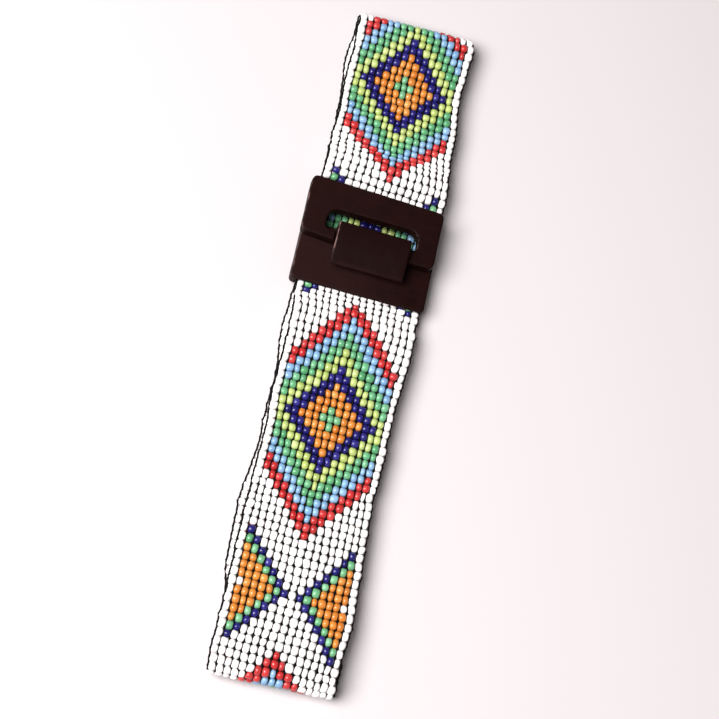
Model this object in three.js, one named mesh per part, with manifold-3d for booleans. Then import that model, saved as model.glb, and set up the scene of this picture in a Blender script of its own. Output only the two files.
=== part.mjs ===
// An elastic belt: a band loomed from glass seed beads on elastic cords, closed by a two-piece
// wooden buckle. It lies fastened and pressed flat, so the loop has a lower layer on the surface
// and an upper layer that carries the buckle. Millimetres, +Z up, +X across the belt and +Y along
// it towards the end that holds the buckle's frame. The origin is under the middle of the whole.
import * as THREE from "three";
import { mergeVertices } from "three/addons/utils/BufferGeometryUtils.js";
import Module from "manifold-3d";

// The band
const BAND_THICKNESS = 4;
const BAND_EDGE_ROUNDING = 1;
const GAP = 0.3;
const LAYER_STEP = 3.2;
const LOWER_LAYER_STEP = 6;

// The two folds, where the band turns over: the radius of its middle line
const NEAR_FOLD_Y = -160.1;
const NEAR_FOLD_RADIUS = 6;
const FAR_FOLD_Y = 160.7;
const FAR_FOLD_RADIUS = 4.8;
const FOLD_STEPS = 12;

// The folds aren't quite square to the belt: how far each leans along Y for a millimetre across
const LEAN = [
  { y: NEAR_FOLD_Y, lean: 0.028 },
  { y: -110, lean: 0 },
  { y: 100, lean: 0 },
  { y: FAR_FOLD_Y, lean: 0.046 },
];

// Humps and dips of the upper layer's middle line, from the near fold to the buckle's hook
const NEAR_HEIGHTS = [
  { y: NEAR_FOLD_Y, z: BAND_THICKNESS / 2 + 2 * NEAR_FOLD_RADIUS },
  { y: -113.4, z: 10.8 },
  { y: -23.4, z: 11.2 },
  { y: 0.8, z: 11 },
  { y: 15.8, z: 6.8 },
  { y: 28.8, z: 6.9 },
];

// The same from the buckle's frame to the far fold
const FAR_HEIGHTS = [
  { y: 58.4, z: 9.2 },
  { y: 70.2, z: 9.2 },
  { y: 80, z: 12.3 },
  { y: 98.9, z: 10.8 },
  { y: 136.6, z: 11 },
  { y: FAR_FOLD_Y, z: BAND_THICKNESS / 2 + 2 * FAR_FOLD_RADIUS },
];

const LOWER_HEIGHTS = [
  { y: NEAR_FOLD_Y, z: BAND_THICKNESS / 2 },
  { y: FAR_FOLD_Y, z: BAND_THICKNESS / 2 },
];

// The band's two edges in each layer: it spreads towards the buckle, and the lower layer wanders
const NEAR_EDGES = [
  { y: NEAR_FOLD_Y, left: -28, right: 28.9 },
  { y: -127.4, left: -27.9, right: 30.6 },
  { y: -74.4, left: -28, right: 29 },
  { y: -42.4, left: -27.6, right: 29.6 },
  { y: 7.6, left: -27.8, right: 31.5 },
  { y: 28.8, left: -27.6, right: 30.4 },
];
const FAR_EDGES = [
  { y: 58.4, left: -28.2, right: 31.9 },
  { y: 77.6, left: -28.6, right: 32.4 },
  { y: 109.6, left: -27.9, right: 30.8 },
  { y: 133.6, left: -28.5, right: 29.3 },
  { y: FAR_FOLD_Y, left: -28.2, right: 30.9 },
];
const LOWER_EDGES = [
  { y: NEAR_FOLD_Y, left: -25.8, right: 31.5 },
  { y: -135, left: -26.3, right: 30.9 },
  { y: -114, left: -30.1, right: 27.4 },
  { y: -87, left: -30.7, right: 26.8 },
  { y: -57, left: -28.1, right: 29.4 },
  { y: -25, left: -27.3, right: 30.1 },
  { y: -5, left: -29.4, right: 28.1 },
  { y: 40, left: -27.6, right: 29.9 },
  { y: 115, left: -27.6, right: 29.9 },
  { y: 144, left: -29.4, right: 28.1 },
  { y: FAR_FOLD_Y, left: -28.4, right: 29.2 },
];

// The hook: a plate, a neck that rises through the frame's slot, and a tongue that turns back
const PLATE_WIDTH = 65.05;
const PLATE_CENTRE_X = 0.45;
const PLATE_NEAR_Y = 19.55;
const PLATE_FAR_Y = 49.45;
const PLATE_BOTTOM = BAND_THICKNESS + GAP;
const PLATE_TOP = 11.3;
const PLATE_CORNER = 2;
const PLATE_BEVEL = 1;
const REBATE_MARGIN = 1;
const NECK_THICKNESS = 3.9;
const NECK_ROOT = 2;
const TONGUE_WIDTH = 35.4;
const TONGUE_CENTRE_X = 1.5;
const TONGUE_TIP_Y = 29.1;
const TONGUE_TOP = 21.4;
const TONGUE_UNDERSIDE = 15.8;
const TONGUE_TIP_THICKNESS = 1.9;
const TONGUE_SHOULDER = 3;
const TONGUE_NOSE = 1.2;
const TONGUE_CROWN_Y = 38;
const TONGUE_CROWN = 20.8;

// The frame that the hook catches, with a seat cut in its near bar for the tongue
const FRAME_WIDTH = 65.3;
const FRAME_CENTRE_X = -0.325;
const FRAME_NEAR_Y = 40.7;
const FRAME_FAR_Y = 69.7;
const FRAME_LEAN = -0.03;
const FRAME_NEAR_BULGE = 1;
const FRAME_BOTTOM = PLATE_TOP + GAP;
const FRAME_TOP = 17.6;
const FRAME_CORNER = 3.5;
const FRAME_BEVEL = 0.8;
const SLOT_LENGTH = 44.4;
const SLOT_CENTRE_X = 0.2;
const SLOT_NEAR_Y = PLATE_FAR_Y - NECK_THICKNESS - GAP;
const SLOT_FAR_Y = 56.15;
const SLOT_NEAR_CORNER = 2.5;
const SLOT_FAR_CORNER = 5.2;
const SEAT_MARGIN = 0.4;
const SEAT_REACH = 3;
const CURVE_STEPS = 5;

const MERGE_DISTANCE = 1e-4;

const wasm = await Module();
wasm.setup();

function toSolid(geometry) {
  const bare = geometry.clone();
  bare.deleteAttribute("normal");
  bare.deleteAttribute("uv");
  const merged = mergeVertices(bare, MERGE_DISTANCE);
  const vertProperties = new Float32Array(merged.getAttribute("position").array);
  const triVerts = new Uint32Array(merged.getIndex().array);
  return new wasm.Manifold(new wasm.Mesh({ numProp: 3, vertProperties, triVerts }));
}

function toGeometry(solid) {
  const mesh = solid.getMesh();
  const geometry = new THREE.BufferGeometry();
  geometry.setAttribute("position", new THREE.BufferAttribute(mesh.vertProperties, 3));
  geometry.setIndex(new THREE.BufferAttribute(mesh.triVerts, 1));
  geometry.computeVertexNormals();
  return geometry;
}

function boxBetween(low, high) {
  const size = high.map((value, axis) => value - low[axis]);
  const box = new THREE.BoxGeometry(...size);
  return box.translate(low[0] + size[0] / 2, low[1] + size[1] / 2, low[2] + size[2] / 2);
}

// A table's value at some place along the belt, blended smoothly between its nearest two rows
function valueAt(table, column, y) {
  let row = 0;
  while (row + 2 < table.length && y > table[row + 1].y) row += 1;
  const start = table[row];
  const end = table[row + 1];
  const along = (y - start.y) / (end.y - start.y);
  const blend = (1 - Math.cos(Math.PI * along)) / 2;
  return start[column] + blend * (end[column] - start[column]);
}

// One layer's middle line and edges, at even steps from its lowest y to its highest
function layer(heights, edges, step) {
  const start = heights[0].y;
  const length = heights[heights.length - 1].y - start;
  const count = Math.ceil(length / step);
  return Array.from({ length: count + 1 }, (_, i) => {
    const y = start + (i / count) * length;
    return {
      y,
      z: valueAt(heights, "z", y),
      left: valueAt(edges, "left", y),
      right: valueAt(edges, "right", y),
    };
  });
}

// Half a turn from the lower layer's end up to the upper one's, without the two ends themselves
function foldTurn(radius, side, lower, upper) {
  const points = [];
  for (let step = 1; step < FOLD_STEPS; step += 1) {
    const share = step / FOLD_STEPS;
    const angle = Math.PI * (share - 0.5);
    points.push({
      y: lower.y + side * radius * Math.cos(angle),
      z: lower.z + radius + radius * Math.sin(angle),
      left: lower.left + share * (upper.left - lower.left),
      right: lower.right + share * (upper.right - lower.right),
    });
  }
  return points;
}

// The band's middle line, from its end under the hook's plate round to its end under the frame
function bandRoute() {
  const near = layer(NEAR_HEIGHTS, NEAR_EDGES, LAYER_STEP);
  const lower = layer(LOWER_HEIGHTS, LOWER_EDGES, LOWER_LAYER_STEP);
  const far = layer(FAR_HEIGHTS, FAR_EDGES, LAYER_STEP);
  return [
    ...near.toReversed(),
    ...foldTurn(NEAR_FOLD_RADIUS, -1, lower[0], near[0]).reverse(),
    ...lower,
    ...foldTurn(FAR_FOLD_RADIUS, 1, lower[lower.length - 1], far[far.length - 1]),
    ...far.toReversed(),
  ];
}

// The band's section: inset is measured from its left edge (side 0) or right edge (side 1), and
// out is square to the middle line
function bandSection() {
  const out = BAND_THICKNESS / 2;
  const cut = BAND_EDGE_ROUNDING;
  return [
    { side: 0, inset: cut, out: -out },
    { side: 1, inset: -cut, out: -out },
    { side: 1, inset: 0, out: -out + cut },
    { side: 1, inset: 0, out: out - cut },
    { side: 1, inset: -cut, out },
    { side: 0, inset: cut, out },
    { side: 0, inset: 0, out: out - cut },
    { side: 0, inset: 0, out: -out + cut },
  ];
}

function beadedBand() {
  const route = bandRoute();
  const section = bandSection();
  const positions = [];
  route.forEach((point, i) => {
    const before = route[Math.max(i - 1, 0)];
    const after = route[Math.min(i + 1, route.length - 1)];
    const length = Math.hypot(after.y - before.y, after.z - before.z);
    const outY = (after.z - before.z) / length;
    const outZ = -(after.y - before.y) / length;
    for (const corner of section) {
      const x = (corner.side ? point.right : point.left) + corner.inset;
      const y = point.y + corner.out * outY;
      positions.push(x, y + x * valueAt(LEAN, "lean", y), point.z + corner.out * outZ);
    }
  });
  const count = section.length;
  const index = [];
  for (let i = 0; i + 1 < route.length; i += 1) {
    for (let j = 0; j < count; j += 1) {
      const here = i * count + j;
      const beside = i * count + ((j + 1) % count);
      index.push(here, beside, here + count, beside, beside + count, here + count);
    }
  }
  const last = (route.length - 1) * count;
  for (let j = 1; j + 1 < count; j += 1) {
    index.push(0, j + 1, j);
    index.push(last, last + j, last + j + 1);
  }
  const geometry = new THREE.BufferGeometry();
  geometry.setAttribute("position", new THREE.Float32BufferAttribute(positions, 3));
  geometry.setIndex(index);
  geometry.computeVertexNormals();
  return geometry;
}

// A four-cornered outline with rounded corners, whose near edge may bulge outwards, and whose near
// and far edges may lean along Y by some share of the way across
function roundedOutline({
  centreX, width, nearY, farY, nearCorner, farCorner, bulge = 0, lean = 0,
}) {
  const left = centreX - width / 2;
  const right = centreX + width / 2;
  const rise = (lean * width) / 2;
  const nearLeft = nearY - rise;
  const nearRight = nearY + rise;
  const farLeft = farY - rise;
  const farRight = farY + rise;
  const shape = new THREE.Shape();
  shape.moveTo(left + nearCorner, nearLeft);
  shape.quadraticCurveTo(centreX, nearY - 2 * bulge, right - nearCorner, nearRight);
  shape.quadraticCurveTo(right, nearRight, right, nearRight + nearCorner);
  shape.lineTo(right, farRight - farCorner);
  shape.quadraticCurveTo(right, farRight, right - farCorner, farRight);
  shape.lineTo(left + farCorner, farLeft);
  shape.quadraticCurveTo(left, farLeft, left, farLeft - farCorner);
  shape.lineTo(left, nearLeft + nearCorner);
  shape.quadraticCurveTo(left, nearLeft, left + nearCorner, nearLeft);
  return shape;
}

// A board of the outline between two heights, its edges bevelled
function board(shape, bottom, top, bevel) {
  const geometry = new THREE.ExtrudeGeometry(shape, {
    depth: top - bottom - 2 * bevel,
    bevelEnabled: true,
    bevelThickness: bevel,
    bevelSize: bevel,
    bevelOffset: -bevel,
    bevelSegments: 2,
    curveSegments: CURVE_STEPS,
  });
  return geometry.translate(0, 0, bottom + bevel);
}

function buckleFrame() {
  const outline = roundedOutline({
    centreX: FRAME_CENTRE_X,
    width: FRAME_WIDTH,
    nearY: FRAME_NEAR_Y,
    farY: FRAME_FAR_Y,
    nearCorner: FRAME_CORNER,
    farCorner: FRAME_CORNER,
    bulge: FRAME_NEAR_BULGE,
    lean: FRAME_LEAN,
  });
  const slot = roundedOutline({
    centreX: SLOT_CENTRE_X,
    width: SLOT_LENGTH,
    nearY: SLOT_NEAR_Y,
    farY: SLOT_FAR_Y,
    nearCorner: SLOT_NEAR_CORNER,
    farCorner: SLOT_FAR_CORNER,
  });
  outline.holes.push(slot);
  const frame = toSolid(board(outline, FRAME_BOTTOM, FRAME_TOP, FRAME_BEVEL));
  const seatHalf = TONGUE_WIDTH / 2 + SEAT_MARGIN;
  const seat = toSolid(boxBetween(
    [TONGUE_CENTRE_X - seatHalf, FRAME_NEAR_Y - SEAT_REACH, TONGUE_UNDERSIDE - GAP],
    [TONGUE_CENTRE_X + seatHalf, SLOT_NEAR_Y + SEAT_REACH, FRAME_TOP + SEAT_REACH],
  ));
  return toGeometry(frame.subtract(seat));
}

// The neck and tongue, drawn from the side: the shape's first axis is Y and its second is Z
function tongueSide() {
  const neckNear = PLATE_FAR_Y - NECK_THICKNESS;
  const tipTop = TONGUE_UNDERSIDE + TONGUE_TIP_THICKNESS;
  const tipNose = TONGUE_TIP_Y + TONGUE_NOSE;
  const shape = new THREE.Shape();
  shape.moveTo(neckNear, PLATE_TOP - NECK_ROOT);
  shape.lineTo(PLATE_FAR_Y, PLATE_TOP - NECK_ROOT);
  shape.lineTo(PLATE_FAR_Y, TONGUE_TOP - TONGUE_SHOULDER);
  shape.quadraticCurveTo(PLATE_FAR_Y, TONGUE_TOP, PLATE_FAR_Y - TONGUE_SHOULDER, TONGUE_TOP);
  shape.quadraticCurveTo(TONGUE_CROWN_Y, TONGUE_CROWN, tipNose, tipTop);
  shape.quadraticCurveTo(TONGUE_TIP_Y, tipTop, TONGUE_TIP_Y, TONGUE_UNDERSIDE);
  shape.lineTo(neckNear, TONGUE_UNDERSIDE);
  return shape;
}

function tongue() {
  const geometry = new THREE.ExtrudeGeometry(tongueSide(), {
    depth: TONGUE_WIDTH,
    bevelEnabled: false,
    curveSegments: CURVE_STEPS,
  });
  const sideways = new THREE.Matrix4().makeBasis(
    new THREE.Vector3(0, 1, 0),
    new THREE.Vector3(0, 0, 1),
    new THREE.Vector3(1, 0, 0),
  );
  geometry.applyMatrix4(sideways);
  return geometry.translate(TONGUE_CENTRE_X - TONGUE_WIDTH / 2, 0, 0);
}

// The plate is rebated underneath, where the band's end is laced to it
function buckleHook() {
  const outline = roundedOutline({
    centreX: PLATE_CENTRE_X,
    width: PLATE_WIDTH,
    nearY: PLATE_NEAR_Y,
    farY: PLATE_FAR_Y,
    nearCorner: PLATE_CORNER,
    farCorner: PLATE_CORNER,
  });
  const plate = toSolid(board(outline, PLATE_BOTTOM, PLATE_TOP, PLATE_BEVEL));
  const end = NEAR_HEIGHTS[NEAR_HEIGHTS.length - 1];
  const edges = NEAR_EDGES[NEAR_EDGES.length - 1];
  const rebate = toSolid(boxBetween(
    [edges.left - REBATE_MARGIN, PLATE_NEAR_Y - REBATE_MARGIN, PLATE_BOTTOM - REBATE_MARGIN],
    [edges.right + REBATE_MARGIN, end.y + GAP, end.z + BAND_THICKNESS / 2 + GAP],
  ));
  return toGeometry(plate.subtract(rebate).add(toSolid(tongue())));
}

const belt = new THREE.Group();

function addPiece(name, geometry, look) {
  const piece = new THREE.Mesh(geometry, new THREE.MeshStandardMaterial(look));
  piece.name = name;
  belt.add(piece);
}

const stainedWood = { color: 0x2a1613, roughness: 0.4, metalness: 0 };
const whiteGlass = { color: 0xf4efec, roughness: 0.2, metalness: 0 };
addPiece("beaded_band", beadedBand(), whiteGlass);
addPiece("buckle_frame", buckleFrame(), stainedWood);
addPiece("buckle_hook", buckleHook(), stainedWood);

export default belt;
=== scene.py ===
# %% [markdown]
# An elastic belt: a band loomed from glass seed beads on black elastic cords, closed by a carved
# wooden buckle in two pieces. The belt lies fastened and pressed flat, so the band makes a long
# narrow loop with a lower layer, two folds and an upper layer that carries the buckle. The packed
# CAD model says where all of this is. It is loaded first and never moved: every piece made below
# takes its place and size from it. Sizes are written in millimetres, and MM turns them to metres.

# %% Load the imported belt
import math

import bpy
import numpy as np
from mathutils import Matrix, Vector


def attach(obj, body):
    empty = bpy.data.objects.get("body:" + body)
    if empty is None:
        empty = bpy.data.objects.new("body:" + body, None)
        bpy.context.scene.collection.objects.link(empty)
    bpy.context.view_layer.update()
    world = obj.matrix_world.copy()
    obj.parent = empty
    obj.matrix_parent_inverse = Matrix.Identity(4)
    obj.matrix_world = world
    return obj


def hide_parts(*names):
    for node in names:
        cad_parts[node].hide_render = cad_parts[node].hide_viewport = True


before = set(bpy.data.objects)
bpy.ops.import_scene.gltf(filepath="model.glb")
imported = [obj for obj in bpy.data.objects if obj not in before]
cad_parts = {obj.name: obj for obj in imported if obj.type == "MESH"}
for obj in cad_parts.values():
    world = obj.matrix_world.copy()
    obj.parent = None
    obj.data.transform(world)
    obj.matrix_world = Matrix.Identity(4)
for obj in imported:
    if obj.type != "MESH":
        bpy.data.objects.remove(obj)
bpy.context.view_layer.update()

MM = 0.001
rng = np.random.default_rng(17)


def in_mm(lengths, digits=1):
    return [round(length / MM, digits) for length in lengths]


# %% [markdown]
# The camera comes first, so that each piece can be looked at from the photograph's own angle. It
# stands on the near left of the belt, looks down steeply, and is turned about its own line of
# sight, which is why the belt leans in the picture. A long lens keeps the two folds nearly the
# same size.

# %% Camera
LENS_MM = 100.1
FILM_WIDTH_MM = 36
NEAREST_SEEN = 0.05
FARTHEST_SEEN = 20
AIM_POINT = Vector((7.9, -11.9, 12.8)) * MM
CAMERA_DISTANCE = 921 * MM
CAMERA_HEADING = math.radians(20.95)
CAMERA_ELEVATION = math.radians(67.96)
CAMERA_ROLL = math.radians(-34.9)


def add_camera():
    level = Vector((math.sin(CAMERA_HEADING), math.cos(CAMERA_HEADING), 0))
    sight = level * math.cos(CAMERA_ELEVATION) - Vector((0, 0, math.sin(CAMERA_ELEVATION)))
    across = sight.cross(Vector((0, 0, 1))).normalized()
    turned = Matrix.Rotation(CAMERA_ROLL, 3, sight) @ across
    upright = turned.cross(sight)
    facing = Matrix((turned, upright, -sight)).transposed()
    data = bpy.data.cameras.new("camera")
    data.lens = LENS_MM
    data.sensor_width = FILM_WIDTH_MM
    data.clip_start = NEAREST_SEEN
    data.clip_end = FARTHEST_SEEN
    camera = bpy.data.objects.new("camera", data)
    bpy.context.scene.collection.objects.link(camera)
    camera.location = AIM_POINT - sight * CAMERA_DISTANCE
    camera.rotation_euler = facing.to_euler()
    bpy.context.scene.camera = camera
    print("camera at", in_mm(camera.location), "mm")


add_camera()

# %% [markdown]
# The light is that of a product photograph: a large soft lamp on the left throws a short soft
# shadow to the right, and a bright even surround keeps the floor nearly white. The floor is one
# large pale sheet just under the belt.

# %% Lamp, surround and floor
FLOOR_SIZE = 6.0
LAMP_SIZE = 1.05
LAMP_DISTANCE = 1.5
LAMP_ELEVATION = math.radians(57)
LAMP_HEADING = math.radians(205)
LAMP_WATTS = 43
SURROUND_STRENGTH = 0.2
LAMP_PLACE = LAMP_DISTANCE * Vector((math.cos(LAMP_HEADING) * math.cos(LAMP_ELEVATION),
                                     math.sin(LAMP_HEADING) * math.cos(LAMP_ELEVATION),
                                     math.sin(LAMP_ELEVATION)))


def deselect_all():
    if bpy.context.object and bpy.context.object.mode != "OBJECT":
        bpy.ops.object.mode_set(mode="OBJECT")
    bpy.ops.object.select_all(action="DESELECT")


def linear(hex_colour):
    """Turns an sRGB hex value to the linear colour that sockets take."""
    channels = [int(hex_colour[i:i + 2], 16) / 255 for i in (1, 3, 5)]
    straight = [c / 12.92 if c <= 0.04045 else ((c + 0.055) / 1.055) ** 2.4 for c in channels]
    return (*straight, 1.0)


def add_node(tree, kind, settings=None, links=None):
    """Adds one node, sets its settings and sockets, and links sockets to other nodes' outputs.
    A socket goes by its name, or by its number where a node has several of one name."""
    node = tree.nodes.new(kind)
    for name, value in (settings or {}).items():
        if hasattr(node, str(name)):
            setattr(node, name, value)
        else:
            node.inputs[name].default_value = value
    for name, output in (links or {}).items():
        tree.links.new(output, node.inputs[name])
    return node


def new_material(name):
    material = bpy.data.materials.new(name)
    material.use_nodes = True
    tree = material.node_tree
    tree.nodes.clear()
    return material, tree


def add_lamp():
    data = bpy.data.lights.new("soft_lamp", "AREA")
    data.shape = "DISK"
    data.size = LAMP_SIZE
    data.energy = LAMP_WATTS
    lamp = bpy.data.objects.new("soft_lamp", data)
    bpy.context.scene.collection.objects.link(lamp)
    lamp.location = LAMP_PLACE
    lamp.rotation_euler = (-LAMP_PLACE).to_track_quat("-Z", "Y").to_euler()


def add_surround():
    world = bpy.data.worlds.new("pale_surround")
    world.use_nodes = True
    background = world.node_tree.nodes["Background"]
    background.inputs["Color"].default_value = linear("#FFFBFB")
    background.inputs["Strength"].default_value = SURROUND_STRENGTH
    bpy.context.scene.world = world


def add_floor():
    deselect_all()
    bpy.ops.mesh.primitive_plane_add(size=FLOOR_SIZE, location=(0, 0, 0))
    floor = bpy.context.object
    floor.name = "floor"
    material, tree = new_material("matt_paper_floor")
    shader = add_node(tree, "ShaderNodeBsdfPrincipled",
                      {"Base Color": linear("#CFC8C9"), "Roughness": 0.9})
    add_node(tree, "ShaderNodeOutputMaterial", links={"Surface": shader.outputs[0]})
    floor.data.materials.append(material)


add_lamp()
add_surround()
add_floor()
bpy.context.scene.view_settings.view_transform = "Standard"

# %% [markdown]
# The band follows one long route in the plane of its length and height: from its end under the
# hook's plate, along the upper layer, round the near fold, back along the lower layer, round the
# far fold and up to its end under the frame. The humps and dips of the upper layer and the places
# of both edges are written as short tables, and a cosine blend joins their rows. Measured along
# this line, every row of beads has a simple place. The folds aren't quite square to the belt, so
# the band also leans a little along itself near them.

# %% The band's route
BAND_THICKNESS = 4.0
NEAR_FOLD_Y = -160.1
NEAR_FOLD_RADIUS = 6.0
FAR_FOLD_Y = 160.7
FAR_FOLD_RADIUS = 4.8
ROUTE_STEP = 0.5

LEAN = [
    {"y": NEAR_FOLD_Y, "lean": 0.028},
    {"y": -110.0, "lean": 0.0},
    {"y": 100.0, "lean": 0.0},
    {"y": FAR_FOLD_Y, "lean": 0.046},
]
NEAR_HEIGHTS = [
    {"y": NEAR_FOLD_Y, "z": BAND_THICKNESS / 2 + 2 * NEAR_FOLD_RADIUS},
    {"y": -113.4, "z": 10.8},
    {"y": -23.4, "z": 11.2},
    {"y": 0.8, "z": 11.0},
    {"y": 15.8, "z": 6.8},
    {"y": 28.8, "z": 6.9},
]
FAR_HEIGHTS = [
    {"y": 58.4, "z": 9.2},
    {"y": 70.2, "z": 9.2},
    {"y": 80.0, "z": 12.3},
    {"y": 98.9, "z": 10.8},
    {"y": 136.6, "z": 11.0},
    {"y": FAR_FOLD_Y, "z": BAND_THICKNESS / 2 + 2 * FAR_FOLD_RADIUS},
]
LOWER_HEIGHTS = [
    {"y": NEAR_FOLD_Y, "z": BAND_THICKNESS / 2},
    {"y": FAR_FOLD_Y, "z": BAND_THICKNESS / 2},
]
NEAR_EDGES = [
    {"y": NEAR_FOLD_Y, "left": -29.2, "right": 28.9},
    {"y": -127.4, "left": -27.9, "right": 30.6},
    {"y": -74.4, "left": -28.0, "right": 29.0},
    {"y": -42.4, "left": -27.6, "right": 29.6},
    {"y": 7.6, "left": -27.8, "right": 31.5},
    {"y": 17.0, "left": -28.7, "right": 32.0},
    {"y": 28.8, "left": -27.6, "right": 30.4},
]
FAR_EDGES = [
    {"y": 58.4, "left": -28.2, "right": 31.9},
    {"y": 77.6, "left": -28.6, "right": 32.4},
    {"y": 109.6, "left": -27.9, "right": 30.8},
    {"y": 133.6, "left": -28.5, "right": 29.3},
    {"y": FAR_FOLD_Y, "left": -28.2, "right": 30.9},
]
LOWER_EDGES = [
    {"y": NEAR_FOLD_Y, "left": -25.8, "right": 31.5},
    {"y": -135.0, "left": -26.3, "right": 30.9},
    {"y": -114.0, "left": -30.1, "right": 27.4},
    {"y": -87.0, "left": -30.7, "right": 26.8},
    {"y": -57.0, "left": -28.1, "right": 29.4},
    {"y": -25.0, "left": -27.3, "right": 30.1},
    {"y": -5.0, "left": -29.4, "right": 28.1},
    {"y": 40.0, "left": -27.6, "right": 29.9},
    {"y": 115.0, "left": -27.6, "right": 29.9},
    {"y": 144.0, "left": -29.4, "right": 28.1},
    {"y": FAR_FOLD_Y, "left": -28.4, "right": 29.2},
]


def value_at(table, column, y):
    """A table's column at places along the belt, blended smoothly from row to row."""
    values = np.array([row[column] for row in table])
    place = np.interp(y, [row["y"] for row in table], np.arange(len(table)))
    row = np.minimum(place.astype(int), len(table) - 2)
    blend = (1 - np.cos(math.pi * (place - row))) / 2
    return values[row] + blend * (values[row + 1] - values[row])


def layer(heights, edges):
    """One layer's middle line and edges, as columns y, z, left and right."""
    y = np.append(np.arange(heights[0]["y"], heights[-1]["y"], ROUTE_STEP), heights[-1]["y"])
    return np.column_stack((y, value_at(heights, "z", y), value_at(edges, "left", y),
                            value_at(edges, "right", y)))


def fold_turn(radius, side, lower, upper):
    """Half a turn from the lower layer's end up to the upper layer's."""
    share = np.linspace(0, 1, int(math.pi * radius / ROUTE_STEP))[1:-1]
    angle = math.pi * (share - 0.5)
    edges = lower[2:] + share[:, None] * (upper[2:] - lower[2:])
    return np.column_stack((lower[0] + side * radius * np.cos(angle),
                            lower[1] + radius + radius * np.sin(angle), edges))


near_layer = layer(NEAR_HEIGHTS, NEAR_EDGES)
lower_layer = layer(LOWER_HEIGHTS, LOWER_EDGES)
far_layer = layer(FAR_HEIGHTS, FAR_EDGES)
route = np.vstack((
    near_layer[::-1],
    fold_turn(NEAR_FOLD_RADIUS, -1, lower_layer[0], near_layer[0])[::-1],
    lower_layer,
    fold_turn(FAR_FOLD_RADIUS, 1, lower_layer[-1], far_layer[-1]),
    far_layer[::-1],
))
route_along = np.concatenate(([0], np.cumsum(np.hypot(*np.diff(route[:, :2], axis=0).T))))
band_length = route_along[-1]
print(f"the band's middle line is {band_length:.0f} mm long")


def on_route(along, column):
    return np.interp(along, route_along, route[:, column])


def lean_at(along):
    return value_at(LEAN, "lean", on_route(along, 0))


def place_on_route(row_along, x):
    """Points of the band's middle surface, x to the right, and the forward and outward ways.
    A fold leans, but the rows stay square to the band, so they meet the fold a little askew."""
    along = row_along + x * lean_at(row_along)
    ahead = np.clip(along + ROUTE_STEP, 0, band_length)
    behind = np.clip(along - ROUTE_STEP, 0, band_length)
    run = on_route(ahead, 0) - on_route(behind, 0)
    rise = on_route(ahead, 1) - on_route(behind, 1)
    size = np.hypot(run, rise)
    none = np.zeros_like(run)
    forward = np.stack((none, run / size, rise / size), axis=-1)
    outward = np.stack((none, rise / size, -run / size), axis=-1)
    y = on_route(along, 0)
    middle = np.stack((x, y + x * lean_at(along), on_route(along, 1)), axis=-1)
    return middle, forward, outward


# %% [markdown]
# The pattern is a chart that repeats every 42 rows: a stepped diamond of 29 rows, then a bow tie of
# 13. Both follow from counting beads away from their middles, so two short rules draw the whole
# chart. The lower diamond's middle is row 0, and three repeats round the back bring the upper
# diamond's middle to row 126.

# %% The bead chart
EDGE_COLUMN = 8
REPEAT_ROWS = 42
DIAMOND_REACH = 14
BOW_TIE_REACH = 6
DIAMOND_BANDS = [(1, "mint"), (4, "orange"), (6, "navy"), (8, "lime"), (10, "green"),
                 (12, "light_blue"), (14, "red")]
BOW_TIE_BANDS = [(0, "white"), (1, "navy"), (2, "mint"), (EDGE_COLUMN, "orange")]


def bead_colour(column, row):
    side = abs(column)
    from_diamond = abs((row + REPEAT_ROWS // 2) % REPEAT_ROWS - REPEAT_ROWS // 2)
    from_bow_tie = abs(REPEAT_ROWS // 2 - from_diamond)
    if side == EDGE_COLUMN:
        return "white"
    if from_diamond <= DIAMOND_REACH:
        for limit, colour in DIAMOND_BANDS:
            if from_diamond + side <= limit:
                return colour
    if from_bow_tie <= BOW_TIE_REACH and (side, from_bow_tie) != (EDGE_COLUMN - 1, 0):
        for limit, colour in BOW_TIE_BANDS:
            if side - from_bow_tie <= limit:
                return colour
    return "white"


FIRST_ROW = -17
LAST_ROW = 143
columns = np.arange(-EDGE_COLUMN, EDGE_COLUMN + 1)
rows = np.arange(FIRST_ROW, LAST_ROW + 1)
chart = np.array([[bead_colour(column, row) for column in columns] for row in rows])
for colour, count in zip(*np.unique(chart, return_counts=True)):
    print(colour, count)

# %% [markdown]
# No two hand-strung seed beads are quite alike, and a loomed band is never quite straight. Both
# come from one idea: the lines between the columns and between the rows wander a little, and each
# bead fills the cell that those lines leave it. A short table says where some rows of the chart
# lie, and the rows between them are spread evenly. Two more tables slant some rows at either side
# and bow the columns near the far end. Slow wandering gives the wavy rows, and quick wandering
# gives fat and thin beads side by side.

# %% The grid that the beads fill
EDGE_MARGIN = 0.45
KNOWN_ROWS = [
    {"row": -17, "layer": "near", "y": 23.9},
    {"row": -16, "layer": "near", "y": 20.1},
    {"row": -14, "layer": "near", "y": 14.9},
    {"row": -13, "layer": "near", "y": 12.0},
    {"row": -12, "layer": "near", "y": 6.4},
    {"row": -10, "layer": "near", "y": -2.0},
    {"row": -6, "layer": "near", "y": -19.1},
    {"row": 0, "layer": "near", "y": -42.9},
    {"row": 14, "layer": "near", "y": -99.7},
    {"row": 28, "layer": "near", "y": -155.0},
    {"row": 89, "layer": "lower", "y": 58.5},
    {"row": 120, "layer": "far", "y": 156.0},
    {"row": 126, "layer": "far", "y": 130.3},
    {"row": 130, "layer": "far", "y": 114.5},
    {"row": 132, "layer": "far", "y": 107.9},
    {"row": 134, "layer": "far", "y": 100.5},
    {"row": 136, "layer": "far", "y": 93.8},
    {"row": 138, "layer": "far", "y": 90.2},
    {"row": 140, "layer": "far", "y": 81.0},
    {"row": 143, "layer": "far", "y": 69.4},
]
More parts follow.
